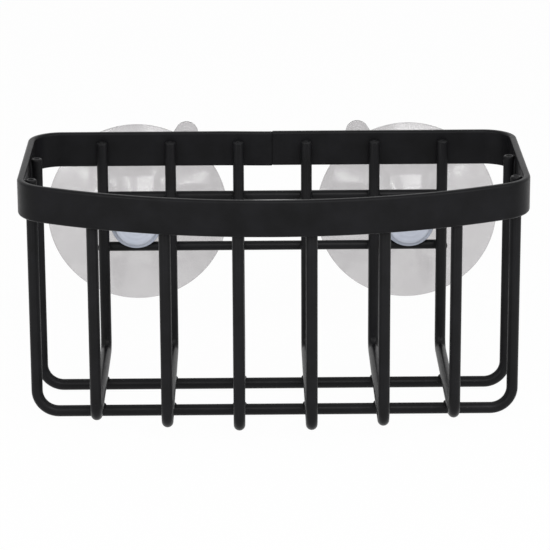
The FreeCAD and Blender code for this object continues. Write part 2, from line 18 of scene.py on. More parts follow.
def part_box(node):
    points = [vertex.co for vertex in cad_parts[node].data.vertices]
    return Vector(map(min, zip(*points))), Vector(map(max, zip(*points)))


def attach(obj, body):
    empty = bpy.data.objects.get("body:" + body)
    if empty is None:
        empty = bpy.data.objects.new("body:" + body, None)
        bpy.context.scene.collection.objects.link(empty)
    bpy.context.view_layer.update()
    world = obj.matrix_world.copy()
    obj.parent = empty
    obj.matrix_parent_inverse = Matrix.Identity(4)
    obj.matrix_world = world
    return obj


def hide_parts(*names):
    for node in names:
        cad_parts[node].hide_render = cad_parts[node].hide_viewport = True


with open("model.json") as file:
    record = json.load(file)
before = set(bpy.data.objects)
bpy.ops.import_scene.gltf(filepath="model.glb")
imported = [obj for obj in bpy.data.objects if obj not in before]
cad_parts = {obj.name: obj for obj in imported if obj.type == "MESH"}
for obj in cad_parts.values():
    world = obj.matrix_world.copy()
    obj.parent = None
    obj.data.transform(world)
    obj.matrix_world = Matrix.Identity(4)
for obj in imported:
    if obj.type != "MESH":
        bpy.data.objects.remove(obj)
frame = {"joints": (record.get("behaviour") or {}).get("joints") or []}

LOG = logging.getLogger("caddy")
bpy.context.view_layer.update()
MM = 0.001
UP = Vector((0.0, 0.0, 1.0))
REARWARD = Vector((0.0, 1.0, 0.0))
SIDEWARD = Vector((1.0, 0.0, 0.0))
STRIP_THICKNESS = 3.2 * MM
BOW_RADIUS = 220 * MM
RIB_COUNT = 6
# Noise seldom leaves these two levels, and a finish's roughness wanders this far either way.
NOISE_LOW, NOISE_HIGH = 0.3, 0.7
GLOSSIER, DULLER = 0.03, 0.05


class Body(Enum):
    """The moving bodies of the caddy, by their names in the frame."""

    BASKET = "basket"
    LEFT_CUP = "left_cup"
    RIGHT_CUP = "right_cup"


class Slot(Enum):
    """The finishes that the record lists."""

    BAND = "coated_band"
    WIRE = "coated_wire"
    WELD = "coated_weld"
    VINYL = "soft_vinyl"


# ---------------------------------------------------------------- small shared helpers


def linear(code: str) -> tuple[float, float, float, float]:
    """Turns an sRGB hex colour into linear light.

    Args:
        code: six hex digits after a hash sign.

    Returns:
        Red, green, blue and a full alpha.
    """
    values = [int(code[place:place + 2], 16) / 255 for place in (1, 3, 5)]
    curve = [v / 12.92 if v <= 0.04045 else ((v + 0.055) / 1.055) ** 2.4 for v in values]
    return curve[0], curve[1], curve[2], 1.0


def add_node(tree: bpy.types.NodeTree, kind: str, settings: dict[str, Any] | None = None,
             inputs: dict[str | int, Any] | None = None) -> bpy.types.Node:
    """Adds one node with its settings and links.

    Args:
        tree: the tree that takes it.
        kind: Blender's name for the node's type.
        settings: its properties and their values.
        inputs: its sockets by name or number, each with a value or another node's output.

    Returns:
        The new node.
    """
    node = tree.nodes.new(kind)
    for name, value in (settings or {}).items():
        setattr(node, name, value)
    for key, value in (inputs or {}).items():
        if isinstance(value, bpy.types.NodeSocket):
            tree.links.new(value, node.inputs[key])
        else:
            node.inputs[key].default_value = value
    return node


def open_material(name: str) -> tuple[bpy.types.Material, bpy.types.NodeTree]:
    """Makes a material with an empty tree.

    Args:
        name: the material's name.

    Returns:
        The material and its tree.
    """
    material = bpy.data.materials.new(name)
    material.use_nodes = True
    material.node_tree.nodes.clear()
    return material, material.node_tree


def corners_of(node: str) -> tuple[Vector, Vector]:
    """Returns the low and the high corner of one of the frame's nodes, in metres."""
    low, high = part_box(node)
    return Vector(low), Vector(high)


def plain_object(name: str, mesh: bpy.types.Mesh) -> bpy.types.Object:
    """Puts a mesh in the scene, at the origin and unturned.

    Args:
        name: the new object's name.
        mesh: what it shows.

    Returns:
        The new object.
    """
    piece = bpy.data.objects.new(name, mesh)
    bpy.context.scene.collection.objects.link(piece)
    return piece


def polyline(name: str, points: list[Vector], closed: bool = False) -> bpy.types.Object:
    """Makes a line of edges, which a tree reads as a curve.

    Args:
        name: the object's name.
        points: its corners in metres, in order.
        closed: whether the last joins the first.

    Returns:
        The object that holds it.
    """
    edges = [(i, i + 1) for i in range(len(points) - 1)]
    if closed:
        edges.append((len(points) - 1, 0))
    mesh = bpy.data.meshes.new(name)
    mesh.from_pydata([tuple(p) for p in points], edges, [])
    return plain_object(name, mesh)


def settle(piece: bpy.types.Object) -> bpy.types.Object:
    """Turns a piece and its modifiers into one plain mesh of the same name.

    Args:
        piece: the object with its modifiers.

    Returns:
        The same object without them.
    """
    graph = bpy.context.evaluated_depsgraph_get()
    mesh = bpy.data.meshes.new_from_object(piece.evaluated_get(graph), depsgraph=graph)
    piece.modifiers.clear()
    old = piece.data
    piece.data = mesh
    mesh.name = piece.name
    if old.users == 0:
        bpy.data.meshes.remove(old)
    return piece


def shade(piece: bpy.types.Object, degrees: float = 32.0) -> None:
    """Shades a piece smoothly, with a sharp edge wherever it turns further than an angle."""
    piece.data.shade_smooth()
    piece.data.set_sharp_from_angle(angle=math.radians(degrees))


def fit(piece: bpy.types.Object, body: Body, slot: Slot, *nodes: str) -> None:
    """Ties a finished piece to its body and hides the frame's nodes that it stands for.

    Args:
        piece: the plain mesh.
        body: what it moves with.
        slot: the record's finish for it; not used.
        nodes: the frame's nodes that it replaces.
    """
    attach(piece, body.value)
    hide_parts(*nodes)
    LOG.info("%s: %d faces, on %s", piece.name, len(piece.data.polygons), body.value)


# ---------------------------------------------------------------- finishes


@dataclass(frozen=True)
class PowderCoat:
    """Satin black polyester powder, sprayed dry and baked, on steel.

    The melt leaves a fine orange peel. The resin is dull and dark, so a face seen square on is
    nearly black, and one seen along its length turns grey with the sheen of the room. The grit
    is drawn coarser than the powder's own grain, which would be too fine to show.
    """

    name: str
    colour: str = "#131314"
    light_patch: str = "#18181A"
    roughness: float = 0.34
    sheen_level: float = 0.1
    peel_width: float = 1.3
    peel_depth: float = 0.016
    grit_width: float = 0.45
    grit_depth: float = 0.006
    patch_width: float = 14.0
    patch_low: float = 0.35
    patch_high: float = 0.65

    def material(self) -> bpy.types.Material:
        """Builds the coat, with its patterns scaled from millimetres.

        Returns:
            The finished material.
        """
        material, tree = open_material(self.name)
        place = add_node(tree, "ShaderNodeTexCoord").outputs["Object"]
        # Each noise has its width in millimetres, its detail and its own roughness.
        scales = ((self.patch_width, 3.0, 0.55), (self.peel_width, 1.0, 0.4),
                  (self.grit_width, 2.0, 0.6))
        patch, peel, grit = (add_node(tree, "ShaderNodeTexNoise", inputs={
            "Vector": place, "Scale": 1 / (width * MM), "Detail": detail, "Roughness": rough})
            for width, detail, rough in scales)
        shift = add_node(tree, "ShaderNodeMapRange", inputs={
            "Value": patch.outputs["Fac"], "From Min": self.patch_low,
            "From Max": self.patch_high})
        colour = add_node(tree, "ShaderNodeMix", {"data_type": "RGBA"}, {
            0: shift.outputs["Result"], 6: linear(self.colour), 7: linear(self.light_patch)})
        gloss = add_node(tree, "ShaderNodeMapRange", inputs={
            "Value": peel.outputs["Fac"], "From Min": NOISE_LOW, "From Max": NOISE_HIGH,
            "To Min": self.roughness - GLOSSIER, "To Max": self.roughness + DULLER})
        waves = add_node(tree, "ShaderNodeBump", inputs={
            "Height": peel.outputs["Fac"], "Strength": 1.0, "Distance": self.peel_depth * MM})
        grains = add_node(tree, "ShaderNodeBump", inputs={
            "Height": grit.outputs["Fac"], "Strength": 1.0, "Distance": self.grit_depth * MM,
            "Normal": waves.outputs["Normal"]})
        coat = add_node(tree, "ShaderNodeBsdfPrincipled", inputs={
            "Base Color": colour.outputs[2], "Roughness": gloss.outputs["Result"],
            "Specular IOR Level": self.sheen_level, "Normal": grains.outputs["Normal"]})
        add_node(tree, "ShaderNodeOutputMaterial", inputs={"Surface": coat.outputs["BSDF"]})
        return material


@dataclass(frozen=True)
class SoftVinyl:
    """Clear plasticised PVC, injection moulded in one shot.

    A thin wall of it lets the room through, softened and a little grey. Where it is thick the
    light scatters on its way and comes back faintly blue. The haze on its skin is drawn coarser
    than the mould's own grain, which would be too fine to show.
    """

    name: str
    colour: str
    cloud_colour: str
    see_through: float
    roughness: float = 0.15
    flow_width: float = 9.0
    flow_depth: float = 0.02
    haze_width: float = 0.8
    index: float = 1.53

    def material(self) -> bpy.types.Material:
        """Builds the vinyl, with the slow waves that its flow into the mould leaves.

        Returns:
            The finished material.
        """
        material, tree = open_material(self.name)
        place = add_node(tree, "ShaderNodeTexCoord").outputs["Object"]
        flow = add_node(tree, "ShaderNodeTexNoise", inputs={
            "Vector": place, "Scale": 1 / (self.flow_width * MM), "Detail": 2.0,
            "Roughness": 0.45, "Distortion": 0.6})
        haze = add_node(tree, "ShaderNodeTexNoise", inputs={
            "Vector": place, "Scale": 1 / (self.haze_width * MM), "Detail": 2.0,
            "Roughness": 0.5})
        cloud = add_node(tree, "ShaderNodeMapRange", inputs={
            "Value": flow.outputs["Fac"], "From Min": NOISE_LOW, "From Max": NOISE_HIGH})
        colour = add_node(tree, "ShaderNodeMix", {"data_type": "RGBA"}, {
            0: cloud.outputs["Result"], 6: linear(self.colour), 7: linear(self.cloud_colour)})
        gloss = add_node(tree, "ShaderNodeMapRange", inputs={
            "Value": haze.outputs["Fac"], "From Min": NOISE_LOW, "From Max": NOISE_HIGH,
            "To Min": self.roughness - GLOSSIER, "To Max": self.roughness + DULLER})
        waves = add_node(tree, "ShaderNodeBump", inputs={
            "Height": flow.outputs["Fac"], "Strength": 1.0, "Distance": self.flow_depth * MM})
        vinyl = add_node(tree, "ShaderNodeBsdfPrincipled", inputs={
            "Base Color": colour.outputs[2], "Roughness": gloss.outputs["Result"],
            "IOR": self.index, "Transmission Weight": self.see_through,
            "Normal": waves.outputs["Normal"]})
        add_node(tree, "ShaderNodeOutputMaterial", inputs={"Surface": vinyl.outputs["BSDF"]})
        return material


# ---------------------------------------------------------------- shapes grown by nodes


class ShapeTree:
    """A tree of geometry nodes with named inputs, from one line or cloud of points."""

    def __init__(self, name: str, inputs: dict[str, str]) -> None:
        """Opens the tree.

        Args:
            name: the tree's name.
            inputs: each input's name and its socket's type, less the common prefix.
        """
        self.tree = bpy.data.node_groups.new(name, "GeometryNodeTree")
        face = self.tree.interface
        face.new_socket("Geometry", in_out="INPUT", socket_type="NodeSocketGeometry")
        for label, kind in {**inputs, "Finish": "Material"}.items():
            face.new_socket(label, in_out="INPUT", socket_type=f"NodeSocket{kind}")
        face.new_socket("Geometry", in_out="OUTPUT", socket_type="NodeSocketGeometry")
        self.given = add_node(self.tree, "NodeGroupInput").outputs

    def add(self, kind: str, settings: dict[str, Any] | None = None,
            **inputs: Any) -> bpy.types.NodeSocket:
        """Adds a node and returns its first output; underscores in input names are spaces."""
        named = {key.replace("_", " "): value for key, value in inputs.items()}
        return add_node(self.tree, kind, settings, named).outputs[0]

    def close(self, shape: bpy.types.NodeSocket) -> None:
        """Ends the tree in real, smooth geometry that wears its finish.

        Args:
            shape: the output that holds the whole shape.
        """
        real = self.add("GeometryNodeRealizeInstances", Geometry=shape)
        smooth = self.add("GeometryNodeSetShadeSmooth", Geometry=real)
        dressed = self.add("GeometryNodeSetMaterial", Geometry=smooth,
                           Material=self.given["Finish"])
        add_node(self.tree, "NodeGroupOutput", inputs={"Geometry": dressed})

    def grow(self, base: bpy.types.Object, values: dict[str, Any]) -> bpy.types.Object:
        """Gives a base the tree and its sizes, and makes the result a plain mesh.

        Args:
            base: the object with the line or points.
            values: each named input's value.

        Returns:
            The same object, with the grown mesh.
        """
        modifier = base.modifiers.new("shape", "NODES")
        modifier.node_group = self.tree
        for item in self.tree.interface.items_tree:
            if item.in_out == "INPUT" and item.name in values:
                modifier[item.identifier] = values[item.name]
        return settle(base)


class WireTree(ShapeTree):
    """A round wire along a line of corners, each bent to one radius."""

    def __init__(self) -> None:
        """Builds the tree: corners, bends, then a round section swept along them."""
        super().__init__("bent_wire", {"Wire radius": "Float", "Bend radius": "Float",
                                       "Bend steps": "Int", "Section steps": "Int"})
        corners = self.add("GeometryNodeMeshToCurve", Mesh=self.given["Geometry"])
        bent = self.add("GeometryNodeFilletCurve", {"mode": "POLY"}, Curve=corners,
                        Count=self.given["Bend steps"], Radius=self.given["Bend radius"],
                        Limit_Radius=True)
        section = self.add("GeometryNodeCurvePrimitiveCircle", {"mode": "RADIUS"},
                           Resolution=self.given["Section steps"],
                           Radius=self.given["Wire radius"])
        self.close(self.add("GeometryNodeCurveToMesh", Curve=bent, Profile_Curve=section,
                            Fill_Caps=True))


class StripTree(ShapeTree):
    """A flat strip on edge, its section carried along a level line."""

    def __init__(self) -> None:
        """Builds the tree: the line kept upright, then the section swept along it."""
        super().__init__("bent_strip", {"Section": "Object"})
        line = self.add("GeometryNodeMeshToCurve", Mesh=self.given["Geometry"])
        upright = self.add("GeometryNodeSetCurveNormal", {"mode": "Z_UP"}, Curve=line)
        given = add_node(self.tree, "GeometryNodeObjectInfo",
                         inputs={"Object": self.given["Section"]})
        section = self.add("GeometryNodeMeshToCurve", Mesh=given.outputs["Geometry"])
        self.close(self.add("GeometryNodeCurveToMesh", Curve=upright, Profile_Curve=section,
                            Fill_Caps=True))


class BeadTree(ShapeTree):
    """Weld beads at a cloud of points, each turned and sized by the point's own attributes."""

    def __init__(self) -> None:
        """Builds the tree: a round bead per point, made uneven as set metal is."""
        super().__init__("weld_beads", {"Unevenness": "Float", "Lump size": "Float",
                                        "Seed": "Float"})
        facing, along, reach = (
            self.add("GeometryNodeInputNamedAttribute", {"data_type": "FLOAT_VECTOR"}, Name=name)
            for name in ("facing", "along", "reach"))
        faced = self.add("FunctionNodeAlignRotationToVector", {"axis": "Z"}, Vector=facing)
        turned = self.add("FunctionNodeAlignRotationToVector", {"axis": "Y", "pivot_axis": "Z"},
                          Rotation=faced, Vector=along)
        bead = self.add("GeometryNodeMeshIcoSphere", Radius=1.0, Subdivisions=5)
        placed = self.add("GeometryNodeInstanceOnPoints", Points=self.given["Geometry"],
                          Instance=bead, Rotation=turned, Scale=reach)
        real = self.add("GeometryNodeRealizeInstances", Geometry=placed)
        lumps = add_node(self.tree, "ShaderNodeTexNoise", {"noise_dimensions": "4D"}, {
            "Scale": self.given["Lump size"], "W": self.given["Seed"], "Detail": 2.0})
        middle = add_node(self.tree, "ShaderNodeMath", {"operation": "SUBTRACT"},
                          {0: lumps.outputs[0], 1: 0.5})
        amount = add_node(self.tree, "ShaderNodeMath", {"operation": "MULTIPLY"},
                          {0: middle.outputs[0], 1: self.given["Unevenness"]})
        normal = self.add("GeometryNodeInputNormal")
        push = add_node(self.tree, "ShaderNodeVectorMath", {"operation": "SCALE"},
                        {"Vector": normal, "Scale": amount.outputs[0]})
        self.close(self.add("GeometryNodeSetPosition", Geometry=real,
                            Offset=push.outputs[0]))


# ---------------------------------------------------------------- the basket


@dataclass
class Rim:
    """The flat strip bent to a bow-front loop, butt welded at the middle of its rear."""

    coat: bpy.types.Material
    weld_coat: bpy.types.Material
    tree: StripTree
    thickness: float = STRIP_THICKNESS
    edge_radius: float = 1.2 * MM
    rear_radius: float = 15 * MM
    front_radius: float = 20 * MM
    bow_radius: float = BOW_RADIUS
    seam_gap: float = 0.6 * MM
    seam_step: float = 0.24 * MM
    seam_run: float = 26 * MM
    seam_sink: float = 0.6 * MM
    seam_share: float = 0.25
    corner_steps: int = 22
    bow_steps: int = 72
    run_steps: int = 12
    bridge_steps: int = 3
    edge_steps: int = 7
    edge_lead: float = 0.25 * MM
    low: Vector = field(init=False)
    high: Vector = field(init=False)

    def __post_init__(self) -> None:
        """Reads the strip's place from the frame."""
        self.low, self.high = corners_of("rim_band")

    def route(self) -> list[Vector]:
        """Returns the strip's middle line from one side of the seam round to the other.

        Returns:
            Points at the strip's mid height, in metres.
        """
        half = self.thickness / 2
        side, back = self.high.x - half, self.high.y - half
        rear, corner, bow = (radius - half for radius in (
            self.rear_radius, self.front_radius, self.bow_radius))
        centre_y = self.low.y + half + bow
        corner_x = side - corner
        corner_y = centre_y - math.sqrt((bow - corner) ** 2 - corner_x ** 2)
        meet = math.atan2(corner_x, centre_y - corner_y)
        quarter = math.pi / 2
        level = self.low.z / 2 + self.high.z / 2
        half_gap = self.seam_gap / 2

        def sweep(x: float, y: float, radius: float, start: float, end: float,
                  steps: int) -> list[Vector]:
            """Points of one arc, both ends in."""
            turns = [start + (end - start) * i / steps for i in range(steps + 1)]
            return [Vector((x + radius * math.cos(t), y + radius * math.sin(t), level))
                    for t in turns]

        run = [self.seam_run * i / self.run_steps for i in range(self.run_steps + 1)]
        left = [Vector((-half_gap - away, back, level)) for away in run]
        left += sweep(rear - side, back - rear, rear, quarter, 2 * quarter, self.corner_steps)
        left += sweep(-corner_x, corner_y, corner, 2 * quarter, 3 * quarter - meet,
                      self.corner_steps)
        front = sweep(0, centre_y, bow, 3 * quarter - meet, 3 * quarter + meet, self.bow_steps)
        right = [Vector((-p.x, p.y, p.z)) for p in reversed(left)]
        return left + front[1:-1] + right

    def section(self, sink: float) -> bpy.types.Object:
        """Makes the strip's section, with extra points where each flat meets its edge.

        Args:
            sink: how far inside the strip's flat faces the outline lies. It lies a share of
                that inside the strip's edges.

        Returns:
            A closed outline: thickness across, height up.
        """
        half_x = self.thickness / 2 - sink
        half_y = (self.high.z - self.low.z) / 2 - sink * self.seam_share
        radius = self.edge_radius - sink
        points = []
        for x_sign, y_sign, start in ((1, 1, 0), (-1, 1, 1), (-1, -1, 2), (1, -1, 3)):
            centre = Vector((x_sign * (half_x - radius), y_sign * (half_y - radius), 0))
            turns = [(start + i / self.edge_steps) * math.pi / 2
                     for i in range(self.edge_steps + 1)]
            arc = [centre + radius * Vector((math.cos(t), math.sin(t), 0)) for t in turns]
            before = Vector((math.sin(turns[0]), -math.cos(turns[0]), 0)) * self.edge_lead
            after = Vector((-math.sin(turns[-1]), math.cos(turns[-1]), 0)) * self.edge_lead
            points += [arc[0] + before, *arc, arc[-1] + after]
        return polyline("strip_section", points, closed=True)

    def lower_left_end(self, vertex: bpy.types.MeshVertex) -> None:
        """Moves a point down by its share of the step between the strip's two ends.

        Args:
            vertex: the point, which moves only if it is near the seam and left of it.
        """
        away = max(-vertex.co.x - self.seam_gap / 2, 0)
        if vertex.co.y > 0 and vertex.co.x < 0 and away < self.seam_run:
            share = 1 - away / self.seam_run
            vertex.co.z -= self.seam_step * share * share * (3 - 2 * share)

    def build(self) -> None:
        """Builds the strip, its left end a hair lower at the seam, and the weld that joins it."""
        half_gap = self.seam_gap / 2
        back = self.high.y - self.thickness / 2
        level = (self.low.z + self.high.z) / 2
        bridge = [Vector((half_gap * i / self.bridge_steps, back, level))
                  for i in range(-self.bridge_steps, self.bridge_steps + 1)]
        parts = (("rim_strip", self.route(), 0.0, self.coat, Slot.BAND, "rim_band"),
                 ("rim_seam_fill", bridge, self.seam_sink, self.weld_coat, Slot.WELD,
                  "rim_seam_weld"))
        for name, line, sink, coat, slot, node in parts:
            section = self.section(sink)
            piece = self.tree.grow(polyline(name, line), {"Section": section, "Finish": coat})
            bpy.data.objects.remove(section)
            for vertex in piece.data.vertices:
                self.lower_left_end(vertex)
            shade(piece)
            fit(piece, Body.BASKET, slot, node)


@dataclass
class Wires:
    """The basket's bent and straight wires: ribs, cross wires and rails."""

    coat: bpy.types.Material
    tree: WireTree
    rib_count: int = RIB_COUNT
    rib_bend: float = 6 * MM
    cross_bend: float = 10 * MM
    end_radius: float = 0.8 * MM
    end_angle: float = math.radians(60)
    end_steps: int = 4
    dish_land: float = 0.35 * MM
    dish_slope: float = 0.45 * MM
    dish_depth: float = 0.6 * MM
    bend_steps: int = 20
    section_steps: int = 40

    def sweep(self, name: str, node: str, corners: list[Vector], radius: float,
              bend: float) -> None:
        """Builds one wire and rounds its two cut ends.

        Args:
            name: the piece's name.
            node: the frame's node that it stands for.
            corners: its line, with a corner at each bend.
            radius: half the wire's diameter.
            bend: the bends' radius to the wire's middle.
        """
        wire = self.tree.grow(polyline(name, corners), {
            "Wire radius": radius, "Bend radius": bend, "Bend steps": self.bend_steps,
            "Section steps": self.section_steps, "Finish": self.coat})
        rounded = wire.modifiers.new("ends", "BEVEL")
        rounded.limit_method = "ANGLE"
        rounded.angle_limit = self.end_angle
        rounded.width = self.end_radius
        rounded.segments = self.end_steps
        settle(wire)
        self.dish_ends(wire)
        shade(wire)
        fit(wire, Body.BASKET, Slot.WIRE, node)

    def dish_ends(self, wire: bpy.types.Object) -> None:
        """Presses into each cut end the shallow dish that the shear leaves there.

        Args:
            wire: the wire, its ends already rounded.
        """
        shape = bmesh.new()
        shape.from_mesh(wire.data)
        caps = [face for face in shape.faces if len(face.verts) >= self.section_steps]
        for width, depth in ((self.dish_land, 0.0), (self.dish_slope, self.dish_depth),
                             (self.dish_slope, self.dish_depth / 4)):
            bmesh.ops.inset_individual(shape, faces=caps, thickness=width, depth=-depth)
        shape.to_mesh(wire.data)
        shape.free()

    def build_u(self, name: str, node: str, axis: int, bend: float) -> None:
        """Builds a U wire with level run and upright legs, from its node's box.

        Args:
            name: the piece's name.
            node: the frame's node.
            axis: the axis along its run, 0 for side to side and 1 for front to back.
            bend: the bends' radius.
        """
        low, high = corners_of(node)
        radius = (high[1 - axis] - low[1 - axis]) / 2
        corners = []
        for end, height in ((low, high.z), (low, low.z + radius),
                            (high, low.z + radius), (high, high.z)):
            corner = (low + high) / 2
            corner[axis] = end[axis] + (radius if end is low else -radius)
            corner.z = height
            corners.append(corner)
        self.sweep(name, node, corners, radius, bend)

    def build(self) -> None:
        """Builds every wire of the basket."""
        for number in range(1, self.rib_count + 1):
            self.build_u(f"rib_wire_{number}", f"rib_{number}", 1, self.rib_bend)
        for place in ("front", "rear"):
            self.build_u(f"{place}_base_wire", f"{place}_cross_wire", 0, self.cross_bend)
        for place in ("upper", "lower"):
            low, high = corners_of(f"{place}_rail")
            middle = (low + high) / 2
            ends = [Vector((x, middle.y, middle.z)) for x in (low.x, high.x)]
            self.sweep(f"{place}_rail_wire", f"{place}_rail", ends, (high.z - low.z) / 2, 0.0)


Bead = tuple[Vector, Vector, Vector, Vector]


@dataclass
class Welds:
    """The resistance welds where the basket's wires cross each other and meet the strip."""

    coat: bpy.types.Material
    tree: BeadTree
    rib_count: int = RIB_COUNT
    gap: float = 0.1 * MM
    flash: float = 0.6 * MM
    side_flash: float = 0.18 * MM
    bulge: float = 1.25 * MM
    strip_thickness: float = STRIP_THICKNESS
    bow_radius: float = BOW_RADIUS
    unevenness: float = 0.4 * MM
    lump_size: float = 420.0

    def cloud(self, name: str, beads: list[Bead]) -> bpy.types.Object:
        """Makes the points that the tree turns into beads.

        Args:
            name: the object's name.
            beads: for each, its place, its facing, the way its length runs and its half sizes.

        Returns:
            The object that holds the points and their attributes.
        """
        mesh = bpy.data.meshes.new(name)
        mesh.from_pydata([tuple(bead[0]) for bead in beads], [], [])
        for label, column in (("facing", 1), ("along", 2), ("reach", 3)):
            values = mesh.attributes.new(label, "FLOAT_VECTOR", "POINT")
            for item, bead in zip(values.data, beads):
                item.vector = bead[column]
        return plain_object(name, mesh)

    def middle(self, node: str) -> tuple[Vector, Vector, Vector]:
        """Returns a node's low corner, high corner and middle."""
        low, high = corners_of(node)
        return low, high, (low + high) / 2

    def rib_rim(self) -> list[Bead]:
        """Places the upright fillets between each rib's legs and the strip.

        Returns:
            The beads, each as the cloud takes them.
        """
        strip_low, strip_high, _ = self.middle("rim_band")
        centre_y = strip_low.y + self.bow_radius
        beads = []
        for number in range(1, self.rib_count + 1):
            low, high, mid = self.middle(f"rib_{number}")
            radius = (high.x - low.x) / 2
            height = (strip_low.z + high.z) / 2
            tall = (high.z - strip_low.z) / 2 - self.flash
            reach = Vector((radius + self.side_flash, tall, self.bulge))
            rear = Vector((mid.x, strip_high.y - self.strip_thickness - self.gap / 2, height))
            beads.append((rear, REARWARD, UP, reach))
            outward = Vector((mid.x, low.y + radius - centre_y, 0)).normalized()
            front = Vector((mid.x, low.y + radius, height)) + outward * (radius + self.gap / 2)
            beads.append((front, outward, UP, reach))
        return beads

    def cross_rim(self) -> list[Bead]:
        """Places the upright fillets between the cross wires' legs and the strip's sides.

        Returns:
            The beads, each as the cloud takes them.
        """
        strip_low, _, _ = self.middle("rim_band")
        beads = []
        for place in ("front", "rear"):
            low, high, mid = self.middle(f"{place}_cross_wire")
            radius = (high.y - low.y) / 2
            reach = Vector((radius + self.side_flash, (high.z - strip_low.z) / 2 - self.flash,
                            self.bulge))
            for sign, edge in ((-1, low.x), (1, high.x)):
                spot = Vector((edge + sign * self.gap / 2, mid.y, (strip_low.z + high.z) / 2))
                beads.append((spot, SIDEWARD * sign, UP, reach))
        return beads

    def base(self) -> list[Bead]:
        """Places the spot welds where each rib lies over each cross wire.

        Returns:
            The beads, each as the cloud takes them.
        """
        beads = []
        for number in range(1, self.rib_count + 1):
            rib_low, _, rib = self.middle(f"rib_{number}")
            for place in ("front", "rear"):
                _, _, cross = self.middle(f"{place}_cross_wire")
                radius = rib.x - rib_low.x
                spot = Vector((rib.x, cross.y, rib_low.z - self.gap / 2))
                reach = Vector((radius + self.flash, radius + self.flash, self.bulge))
                beads.append((spot, UP, REARWARD, reach))
        return beads

    def rails(self) -> list[Bead]:
        """Places the spot welds where each rail crosses the back of each rib.

        Returns:
            The beads, each as the cloud takes them.
        """
        beads = []
        for number in range(1, self.rib_count + 1):
            rib_low, _, rib = self.middle(f"rib_{number}")
            for place in ("upper", "lower"):
                rail_low, rail_high, rail = self.middle(f"{place}_rail")
                side = rib.x - rib_low.x + self.flash
                tall = (rail_high.z - rail_low.z) / 2 + self.flash
                spot = Vector((rib.x, rail_low.y - self.gap / 2, rail.z))
                beads.append((spot, REARWARD, UP, Vector((side, tall, self.bulge))))
        return beads

    def build(self) -> None:
        """Builds the four kinds of weld, each as one mesh."""
        groups = (("rib_rim_beads", "rib_rim_welds", self.rib_rim()),
                  ("cross_rim_beads", "cross_wire_rim_welds", self.cross_rim()),
                  ("base_beads", "base_welds", self.base()),
                  ("rail_beads", "rail_welds", self.rails()))
        for seed, (name, node, beads) in enumerate(groups, start=1):
            piece = self.tree.grow(self.cloud(name, beads), {
                "Unevenness": self.unevenness, "Lump size": self.lump_size,
                "Seed": float(seed), "Finish": self.coat})
            fit(piece, Body.BASKET, Slot.WELD, node)


# ---------------------------------------------------------------- the suction cups


